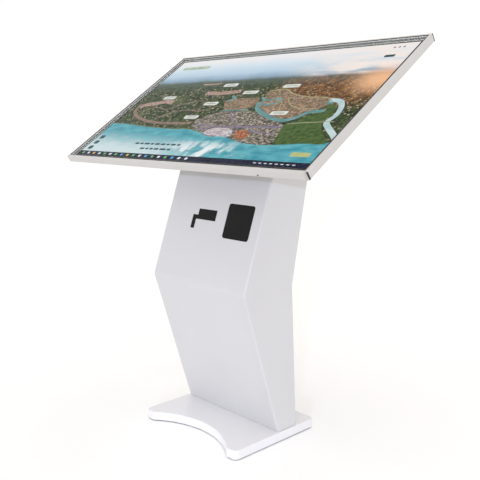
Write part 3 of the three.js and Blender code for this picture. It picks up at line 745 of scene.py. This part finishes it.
def landscape():
    """Sky over haze over woodland, with an evening glow at the right."""
    finish = lit("picture_landscape")
    spot, x, y = sheet(finish)
    wave = finish.noise(0.8, 3, spot)
    sky = finish.ramp((y + wave * 0.3 - 6.6) / 2.4, stops(
        (0.05, (112, 130, 134)), (0.17, (142, 168, 190)), (0.38, (188, 211, 230)), (0.68, (216, 230, 242)),
        (0.95, (243, 240, 242))))
    cloud = finish.noise(1, 5, finish.stretched((0.5, 1.7, 1), spot))
    sky = finish.mix(x.between(8.5, 14) * cloud.between(0.3, 0.62), sky, rgb(250, 236, 230))
    crowns = finish.cells(13, where=spot)
    leaf = Number(finish, crowns.outputs["Distance"])
    roofs = finish.red(crowns.outputs["Color"])
    tone = finish.noise(3.4, 8, spot, 0.76)
    wood = finish.mix(tone.between(0.42, 0.6), rgb(16, 38, 20), rgb(84, 104, 48))
    meadow = finish.noise(0.9, 4, spot).between(0.52, 0.66) * y.between(6.2, 5.0)
    wood = finish.mix(meadow * 0.7, wood, rgb(112, 122, 74))
    autumn = x.between(9.3, 11.8) * y.between(3.6, 5.0)
    wood = finish.mix(autumn, wood, finish.mix(tone.between(0.42, 0.6), rgb(88, 54, 24), rgb(186, 128, 72)))
    wood = finish.mix(leaf.between(0.3, 0.7) * 0.6, wood, rgb(22, 28, 18))
    wood = finish.mix((roofs > 0.93) * y.between(6.4, 5.8) * 0.75, wood, rgb(196, 180, 160))
    haze = (y + wave * 0.5).between(5.9, 7.2)
    wood = finish.mix(haze * 0.5, wood, rgb(112, 128, 128))
    colour = finish.mix((y + wave * 0.2).between(6.6, 6.95), wood, sky)
    away = ((x - 15.7) ** 2 * 0.5 + (y - 6.1) ** 2) ** 0.5
    return show(finish, finish.mix(away.between(1.5, 0.1) * 0.9, colour, rgb(255, 196, 150)))


def district(name, blocks, street, scale=8):
    """Small blocks of buildings with streets between them."""
    finish = lit(name)
    spot = sheet(finish)[0]
    cells = finish.cells(scale, where=finish.stretched((1, 1.7, 1), spot), distance="CHEBYCHEV")
    edge = Number(finish, cells.outputs["Distance"])
    colour = finish.ramp(finish.red(cells.outputs["Color"]), blocks)
    colour = finish.mix(finish.noise(9, 3, spot).between(0.4, 0.7) * 0.5, colour, rgb(74, 82, 58))
    return show(finish, finish.mix(edge.between(0.4, 0.6), colour, street))


def water(name, near, far, foam_x, foam_y):
    """Water with drifting foam, paler towards the lower left."""
    finish = lit(name)
    spot, x, y = sheet(finish)
    ripple = finish.noise(1, 5, finish.stretched((1.2, 3.4, 1), spot), 0.6)
    colour = finish.mix(ripple.between(0.3, 0.7), near, far)
    mist = (y + x * 0.06 + ripple * 1.5).between(3.1, 1.5)
    colour = finish.mix(mist * x.between(10, 5) * 0.9, colour, rgb(219, 232, 235))
    cloud = finish.noise(1.3, 5, spot).between(0.46, 0.62)
    patch = x.between(foam_x - 3.2, foam_x) * x.between(foam_x + 4.2, foam_x + 0.8)
    patch = patch * y.between(foam_y, foam_y - 1.2)
    return show(finish, finish.mix(cloud * patch, colour, rgb(240, 244, 246)))


def tinted(name, dark, light, scale=3):
    """A plain picture colour with slow variation."""
    finish = lit(name)
    drift = finish.noise(scale, 4, sheet(finish)[0]).between(0.3, 0.7)
    return show(finish, finish.mix(drift, rgb(*dark), rgb(*light)))


def through(a, b, c, d, t):
    """Smooth value a share `t` of the way from b to c, with a and d as the neighbours."""
    bend, twist = 2 * a - 5 * b + 4 * c - d, 3 * b - a - 3 * c + d
    return 0.5 * (2 * b + (c - a) * t + bend * t ** 2 + twist * t ** 3)


def smooth(spots, closed=True, steps=6):
    """Points of a smooth curve through the spots."""
    last = len(spots) - 1
    ends = (spots[-1], spots[0], spots[1]) if closed else (spots[0], spots[-1])
    run = [ends[0], *spots, *ends[1:]]
    curve = [
        tuple(through(*values, step / steps) for values in zip(*run[i:i + 4]))
        for i in range(last + closed) for step in range(steps)]
    return curve if closed else [*curve, spots[-1]]


def ribbon(spots, width):
    """Quads of a band along a smooth line."""
    path = smooth(spots, closed=False)
    edges = []
    for i, (x, y) in enumerate(path):
        (x0, y0), (x1, y1) = path[max(i - 1, 0)], path[min(i + 1, len(path) - 1)]
        half = width / 2 / math.hypot(x1 - x0, y1 - y0)
        aside, along = half * (y0 - y1), half * (x1 - x0)
        edges.append(((x + aside, y + along), (x - aside, y - along)))
    return [(b, d, c, a) for (a, b), (c, d) in zip(edges, edges[1:])]


def lay(name, level, outlines, finish):
    """Flat shapes on one level of the picture."""
    points, faces = [], []
    for outline in outlines:
        area = sum(x0 * y1 - x1 * y0 for (x0, y0), (x1, y1) in zip(outline, [*outline[1:], outline[0]]))
        order = outline if area > 0 else outline[::-1]
        faces.append(tuple(range(len(points), len(points) + len(order))))
        for x, y in order:
            x, y = min(max(x, 0), SHEET_W), min(max(y, 0), SHEET_H)
            points.append((x * UNIT, y * UNIT, level * LAYER))
    piece(name, points, faces, finish, at=PICTURE, flat=True)


def make_border(name, outer, inner, finish):
    """Printed band under the glass, `outer` to `inner` away from the picture's edge."""
    picture_h = SHEET_H * UNIT
    corners = [
        (x + sign_x * grow, y + sign_y * grow, 0) for grow in (outer, inner)
        for x, y, sign_x, sign_y in (
            (0, 0, -1, -1), (PICTURE_W, 0, 1, -1), (PICTURE_W, picture_h, 1, 1), (0, picture_h, -1, 1))]
    piece(name, corners, rings_to_faces(2, 4), finish, at=PICTURE, flat=True)


def make_land():
    """Villages, lanes, town, canals, river and headland."""
    village = tinted("picture_village", (132, 98, 88), (206, 176, 164), 9)
    lay("picture_village", 1, [
        *ribbon([(0.8, 4.3), (1.0, 4.55), (1.9, 4.7), (2.7, 4.85), (3.3, 4.7)], 0.36),
        *ribbon([(5.2, 5.55), (6.2, 5.45), (7.0, 5.5), (7.8, 5.6)], 0.3),
        *ribbon([(4.2, 6.4), (4.8, 6.36), (5.6, 6.42)], 0.14)], village)
    lane = tinted("picture_lane", (118, 96, 84), (160, 134, 120), 6)
    lay("picture_lane", 2, [
        *ribbon([(0.5, 4.7), (0.7, 4.0), (1.4, 3.5), (2.6, 3.1), (3.8, 2.9), (5.2, 2.85), (6.6, 2.9)], 0.2),
        *ribbon([(1.1, 3.9), (2.3, 4.3), (3.4, 4.1), (4.4, 4.6), (5.6, 4.9)], 0.07),
        *ribbon([(3.2, 2.95), (3.9, 3.7), (5.0, 4.0), (6.3, 3.9), (7.2, 4.3)], 0.07)], lane)

    town_blocks = stops(
        (0.0, (66, 62, 56)), (0.25, (118, 110, 96)), (0.5, (168, 152, 136)), (0.75, (204, 188, 178)),
        (1.0, (96, 100, 74)))
    town = smooth([
        (6.7, 3.0), (7.3, 3.6), (8.4, 3.85), (9.7, 3.85), (10.6, 3.6), (11.4, 3.2), (12.4, 2.95),
        (12.95, 2.5), (13.0, 1.5), (11.6, 1.35), (9.8, 1.6), (8.4, 1.9), (7.2, 2.3)])
    lay("picture_town", 1, [town], district("picture_town", town_blocks, rgb(82, 78, 72)))
    quarter_blocks = stops(
        (0.0, (128, 84, 66)), (0.3, (176, 134, 112)), (0.55, (204, 172, 150)), (0.8, (112, 100, 76)),
        (1.0, (84, 98, 64)))
    quarters = [
        smooth([(7.4, 4.8), (8.4, 4.95), (9.6, 4.9), (9.7, 4.3), (9.2, 3.95), (8.0, 4.0), (7.6, 4.4)]),
        smooth([(9.8, 5.5), (10.7, 5.6), (11.6, 5.15), (12.6, 4.9), (13.7, 4.75), (14.2, 4.5), (13.9, 4.0),
                (13.2, 3.7), (12.8, 3.3), (11.9, 3.3), (10.9, 3.75), (10.1, 4.3), (9.9, 4.9)])]
    lay("picture_quarters", 2, quarters, district("picture_quarters", quarter_blocks, rgb(128, 112, 88), 9))
    avenue = tinted("picture_avenue", (98, 88, 108), (156, 144, 160), 5)
    lay("picture_avenue", 3, [
        *ribbon([(7.1, 2.75), (8.8, 2.62), (10.8, 2.6), (12.8, 2.62)], 0.16),
        *ribbon([(7.4, 2.45), (9.2, 2.3), (11.0, 2.3), (12.7, 2.1)], 0.1),
        *ribbon([(8.6, 3.8), (9.2, 3.2), (10.0, 2.7), (10.6, 1.8)], 0.08)], avenue)
    square = smooth([(8.2, 2.1), (8.6, 2.5), (9.9, 2.4), (10.1, 1.85), (9.0, 1.9)])
    lay("picture_square", 4, [square], district(
        "picture_square", stops((0.0, (168, 150, 172)), (0.5, (226, 210, 214)), (1.0, (240, 232, 228))),
        rgb(176, 160, 170), 9))
    market = smooth([(10.3, 2.35), (11.1, 2.25), (11.3, 1.75), (10.6, 1.8)])
    lay("picture_market", 4, [market], district(
        "picture_market", stops((0.0, (150, 78, 48)), (0.5, (206, 126, 84)), (1.0, (224, 160, 122))),
        rgb(134, 78, 56), 10))
    lay("picture_promenade", 3, [
        *ribbon([(9.8, 5.5), (10.7, 5.6), (11.6, 5.15), (12.6, 4.9), (13.7, 4.8), (14.3, 4.55)], 0.07),
        *ribbon([(11.4, 4.9), (12.0, 4.3), (12.8, 4.0), (13.6, 4.0)], 0.05),
        *ribbon([(10.5, 4.9), (11.3, 4.5), (11.6, 3.9), (12.2, 3.5)], 0.05)],
        tinted("picture_promenade", (150, 140, 96), (190, 176, 134), 9))
    lay("picture_canal", 4, [
        *ribbon([(9.7, 5.0), (10.2, 4.7), (10.9, 4.85), (11.1, 4.55), (10.6, 4.35), (10.0, 4.45)], 0.14),
        *ribbon([(7.5, 5.2), (7.9, 4.95), (7.5, 4.7)], 0.14),
        *ribbon([(7.9, 3.9), (8.8, 3.95), (9.6, 3.95)], 0.1),
        *ribbon([(9.85, 4.6), (10.1, 4.1), (10.7, 3.7), (11.6, 3.3), (12.5, 3.1), (13.1, 3.35), (13.5, 3.7),
                 (14.3, 3.85), (14.25, 4.3), (14.0, 4.55)], 0.24)],
        water("picture_canal", rgb(84, 132, 134), rgb(124, 164, 162), -9, 0))
    lay("picture_river", 4, [
        *ribbon([(14.0, 4.6), (14.6, 4.5), (14.95, 4.1), (15.1, 3.5), (14.95, 3.0), (15.3, 2.6), (15.9, 2.1),
                 (16.3, 1.7)], 0.27)], tinted("picture_river", (178, 202, 206), (206, 222, 222), 2))
    lay("picture_headland", 5, [smooth([
        (14.15, 4.25), (14.6, 4.15), (14.85, 3.6), (14.7, 3.0), (15.1, 2.4), (15.75, 1.75), (15.6, 1.5),
        (14.5, 1.35), (13.3, 1.35), (12.95, 2.2), (12.8, 2.9), (13.3, 3.1), (13.8, 3.55), (14.3, 3.75)])],
        tinted("picture_headland", (44, 74, 34), (90, 112, 54), 5))
    lay("picture_footpath", 6, [*ribbon([(12.9, 2.85), (13.8, 2.95), (14.7, 3.0), (15.3, 3.02)], 0.05)],
        tinted("picture_footpath", (150, 150, 120), (180, 178, 150)))


def make_sea():
    """The sea up to the menu bar, and the beach along its left half."""
    shore = [
        (0, 2.82), (1.2, 2.78), (2.6, 2.62), (4.2, 2.46), (5.6, 2.38), (6.8, 2.38), (7.9, 2.16), (8.8, 1.84),
        (9.8, 1.86), (10.7, 1.6), (11.6, 1.4), (12.8, 1.34), (13.8, 1.42), (14.8, 1.52), (15.6, 1.5),
        (16, 1.66)]
    lay("picture_sea", 6, [[*smooth(shore, closed=False), (SHEET_W, BAR_H), (0, BAR_H)]],
        water("picture_sea", rgb(54, 144, 164), rgb(104, 184, 194), 8.6, 2.0))
    lay("picture_beach", 7, [*ribbon([(x, y + 0.02) for x, y in shore[:7]], 0.07)],
        tinted("picture_beach", (70, 92, 60), (128, 132, 96), 4))


def make_labels(draw):
    """Blank place tags, buttons and plain bars where headings would be."""
    tags = ((2.53, 5.2), (6.5, 6.2), (8.55, 5.45), (10.9, 5.86), (6.5, 4.54), (6.1, 3.38), (11.8, 3.66))
    lay("picture_tags", 7, [tag(x, y, 1.02, 0.28) for x, y in tags],
        tinted("picture_tags", (214, 214, 208), (238, 238, 232)))
    lay("picture_tag_rules", 8, [tag(x, y, 0.7, 0.06) for x, y in tags],
        tinted("picture_tag_rules", (128, 138, 128), (150, 158, 146)))
    lay("picture_icons", 7, [tag(0.5, y, 0.4, 0.3) for y in (0.62, 1.08, 1.54)],
        tinted("picture_icons", (28, 70, 70), (40, 92, 88)))
    lay("picture_button", 7, [tag(15.15, 0.82, 1.0, 0.28)],
        tinted("picture_button", (176, 182, 118), (196, 200, 140)))
    bars = []
    for y, start, count in ((1.12, 4.0, 9), (0.74, 4.8, 6)):
        x = start
        for _ in range(count):
            width = draw.uniform(0.22, 0.5)
            bars.append(tag(x + width / 2, y, width, 0.13))
            x += width + 0.1
    bars.append(tag(15.0, 7.96, 0.55, 0.2))
    lay("picture_headings", 7, bars, tinted("picture_headings", (36, 66, 74), (52, 84, 90)))
    lay("picture_header", 1, [tag(1.85, 8.22, 2.3, 0.3)],
        tinted("picture_header", (158, 178, 158), (196, 208, 186)))
    lay("picture_window_marks", 1, [tag(x, 8.68, 0.12, 0.12) for x in (14.85, 15.1, 15.35)],
        tinted("picture_window_marks", (130, 104, 112), (160, 130, 134)))


def make_menu_bar(draw):
    """Dark bar along the bottom with small plain marks."""
    lay("picture_bar", 7, [[(0, 0), (SHEET_W, 0), (SHEET_W, BAR_H), (0, BAR_H)]],
        tinted("picture_bar", (16, 18, 46), (28, 34, 64), 1))
    shades = ((232, 236, 240), (110, 190, 120), (96, 170, 220), (228, 196, 96))
    spots = {shade: [] for shade in shades}
    for i in range(18):
        spots[draw.choice(shades)].append(tag(0.4 + i * 0.5, BAR_H / 2, 0.18, 0.15))
    spots[shades[0]] += [tag(13.2 + i * 0.3, BAR_H / 2, 0.16, 0.05) for i in range(8)]
    for i, (shade, marks) in enumerate(spots.items()):
        lay(f"picture_bar_marks_{i + 1}", 8, marks, tinted(f"picture_bar_marks_{i + 1}", shade, shade))


def make_picture():
    """A riverside site plan seen from the air, in plain shapes, with a menu bar along the bottom."""
    draw = random.Random(7)
    lay("picture_landscape", 0, [[(0, 0), (SHEET_W, 0), (SHEET_W, SHEET_H), (0, SHEET_H)]], landscape())
    make_border("glass_border", MASK, MASK_LINE, BORDER_GREY)
    make_border("glass_border_line", MASK_LINE, 0, MASK_BLACK)
    make_land()
    make_sea()
    make_labels(draw)
    make_menu_bar(draw)


make_picture()


# ------------------------------------------------------------------ column

SHEET_T = 2 * MM
EDGE_R = 7 * MM  # front vertical edges
BEND_R = 25 * MM  # front fold, on the outside
BEND_STEPS = 14
REAR_BEND = 8 * MM  # height of rear edge below its crease that the fold's rings share out


def cut_openings(shell):
    """Rectangular openings in the upper front, hidden behind the reader window and the sensor plate."""
    cutting = bmesh.new()
    cutting.from_mesh(shell.data)
    for name, low, high in (
            ("reader_window", (-46 * MM, -44 * MM), (46 * MM, 44 * MM)),
            ("sensor_plate", (-25 * MM, 5 * MM), (45 * MM, 26 * MM))):
        at = face_frame(name, FRONT_UP)
        out = at.col[2].to_3d()
        for axis in (0, 1):
            across = at.col[axis].to_3d()
            for end in (low[axis], high[axis]):
                facing = [f for f in cutting.faces if f.normal.dot(out) > 0.999]
                geometry = {item for f in facing for item in (f, *f.edges, *f.verts)}
                bmesh.ops.bisect_plane(
                    cutting, geom=list(geometry), plane_co=at.translation + across * end, plane_no=across)
        inward = at.inverted()
        centres = ((f, inward @ f.calc_center_median()) for f in cutting.faces)
        inside = [
            f for f, spot in centres
            if abs(spot.z) < SHEET_T and low[0] < spot.x < high[0] and low[1] < spot.y < high[1]]
        bmesh.ops.delete(cutting, geom=inside, context="FACES")
    cutting.to_mesh(shell.data)
    cutting.free()


def make_column_shell():
    """Front and sides in one folded skin with soft vertical edges, cut for the two windows."""
    lower = face_frame("front_panel", FRONT_DOWN)
    upper = face_frame("front_panel", FRONT_UP)
    bend = meet(upper, lower)
    crease = meet(rear_upper, rear_lower)
    low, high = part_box("side_panel_left")
    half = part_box("side_panel_right")[1].x
    # Directions up each face, below and above the fold.
    front_low, front_high, rear_low, rear_high = (
        face.col[1].to_3d() for face in (lower, upper, rear_lower, rear_upper))

    def on_line(start, direction, z):
        return start + direction * ((z - start.z) / direction.z)

    opening = math.pi - front_low.angle(front_high)
    tangent = BEND_R / math.tan(opening / 2)
    centre = bend + (front_high - front_low).normalized() * (BEND_R / math.sin(opening / 2))
    start, end = (bend + step - centre for step in (-front_low * tangent, front_high * tangent))
    sweep = math.copysign(math.pi - opening, start.cross(end).x)
    stations = [(on_line(bend, front_low, low.z), on_line(crease, rear_low, low.z))]
    for i in range(BEND_STEPS + 1):
        share = i / BEND_STEPS
        front = centre + Matrix.Rotation(sweep * share, 3, "X") @ start
        stations.append((front, on_line(crease, rear_low, crease.z - (1 - share) * REAR_BEND)))
    front_top = on_line(bend, front_high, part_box("front_panel")[1].z)
    stations.append((front_top, on_line(crease, rear_high, high.z)))

    flat_half = half - EDGE_R
    rim = [(-half, None), *arc((-flat_half, EDGE_R), EDGE_R, 180, 270, 6),
           *arc((flat_half, EDGE_R), EDGE_R, 270, 360, 6), (half, None)]
    points = []
    for front, back in stations:
        inward = (back - front).normalized()
        for x, depth in rim:
            spot = back if depth is None else front + inward * depth
            points.append(spot + Vector((x, 0, 0)))
    faces = rings_to_faces(len(stations), len(rim), closed_rings=False)
    shell = piece("column_shell", points, faces, WHITE, sharp=math.radians(25))
    cut_openings(shell)
    thick = shell.modifiers.new("sheet thickness", "SOLIDIFY")
    thick.thickness = SHEET_T
    thick.offset = -1
    split = shell.modifiers.new("crisp rims", "EDGE_SPLIT")
    split.split_angle = math.radians(30)
    even = shell.modifiers.new("flat panels", "WEIGHTED_NORMAL")
    even.weight = 100
    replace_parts(shell, "front_panel", "side_panel_left", "side_panel_right")


make_column_shell()
for name in ("rear_header", "rear_upper_panel", "rear_sill", "rear_stile_left", "rear_stile_right"):
    soften(name, WHITE, 0.5 * MM)
soften("rear_door", WHITE, 1.2 * MM)
soften("reader_window", ACRYLIC, 0.25 * MM)
soften("sensor_plate", ACRYLIC, 0.25 * MM)
for name in ("reader_module", "sensor_module", "fan_housing", "fan_rotor", "power_inlet", "rocker_switch",
             "service_button", "network_socket"):
    soften(name, BLACK, 0.4 * MM, 2)
soften("media_computer", RIBBED, 1.5 * MM)
soften("power_supply", CAGE, 0.5 * MM, 2)
for name in ("equipment_tray", "top_plate", "neck_gusset_left", "neck_gusset_right",
             "column_foot_plate", "lock_cam"):
    soften(name, ZINC, 0.5 * MM, 2)
for level in ("lower", "upper"):
    for part in ("hinge_leaf_fixed", "hinge_leaf_door", "hinge_pin"):
        soften(f"{part}_{level}", CHROME, 0.3 * MM, 2)
soften("lock_cylinder", CHROME, 0.3 * MM, 2)
soften("button_bezel", CHROME, 0.3 * MM, 2)
soften("ballast_plate", PRIMER, 0.6 * MM)
for corner in ("fl", "fr", "bl", "br"):
    soften(f"foot_{corner}", RUBBER, 0.5 * MM, 2)
# The base cover's lighter white is painted light on the same powder coat.
soften("base_cover", BASE_WHITE_PAINTED_LIGHT, 2 * MM, 4)


# ------------------------------------------------------------------ fasteners

PANEL_INSET = 11 * MM
FAN_BOLT = 41 * MM
HINGE_ROW = 97 * MM  # a hinge's middle above or below the door's middle
HINGE_PITCH = 20 * MM
HINGE_T = 1.6 * MM
RAIL_SCREW_X = 340 * MM


def make_rear_panel_screws():
    """Screws of the upper panel, its fan, the sill below the door and the header above it."""
    half, rise = extent("rear_upper_panel", rear_upper)
    x, y = half - PANEL_INSET, rise - PANEL_INSET
    fasteners("screws_upper_panel", rear_upper, [
        (side * x, level * y) for side in (-1, 1) for level in (-0.94, -0.45, 0.05, 0.55)])
    fan_low, fan_high = (Vector(corner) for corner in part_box("fan_housing"))
    fan = rear_upper.inverted() @ ((fan_low + fan_high) / 2)
    fasteners("screws_fan", rear_upper, [
        (fan.x + side * FAN_BOLT, fan.y + level * FAN_BOLT) for side in (-1, 1) for level in (-1, 1)],
        radius=2.6 * MM)
    door_rise = extent("rear_door", rear_lower)[1]
    fasteners("screws_sill", rear_lower, [
        (side * x, -door_rise - 3 * MM - depth) for side in (-1, 1) for depth in (12 * MM, 62 * MM)])
    fasteners("screws_header", rear_lower, [(side * x, door_rise + 14 * MM) for side in (-1, 1)])


def make_hinge_screws():
    """Three screws in each leaf, level with the hinge."""
    leaf = rear_lower @ Matrix.Translation((0, 0, HINGE_T))
    pin_x = -extent("rear_door", rear_lower)[0] - 1.5 * MM
    for level, y in (("lower", -HINGE_ROW), ("upper", HINGE_ROW)):
        for kind, x, body in (("door", pin_x + 12 * MM, "door"), ("fixed", pin_x - 12 * MM, BODY)):
            spots = [(x, y + step) for step in (-HINGE_PITCH, 0, HINGE_PITCH)]
            fasteners(f"screws_hinge_{kind}_{level}", leaf, spots, body, 2.4 * MM)


def make_head_screws():
    """Screws round the rear cover, and one dark screw in the front rail."""
    back = face_frame("rear_cover", -HEAD_OUT)
    wide, tall = extent("rear_cover", back)
    x, y = wide - 48 * MM, tall - 46 * MM
    fasteners("screws_rear_cover", back, [
        *((side * share * x, level * y) for side in (-1, 1) for share in (0.52, 1) for level in (-1, 1)),
        *((side * x, 0) for side in (-1, 1))], radius=3.6 * MM)
    place = Matrix.Translation((RAIL_SCREW_X, 0, 4 * MM - RAIL_DEPTH))
    rail = HEAD @ place @ Matrix.Rotation(math.pi / 2, 4, "X")
    fasteners("screw_front_rail", rail, [(0, 0)], radius=2.2 * MM, finish=BLACK)


make_rear_panel_screws()
make_hinge_screws()
make_head_screws()
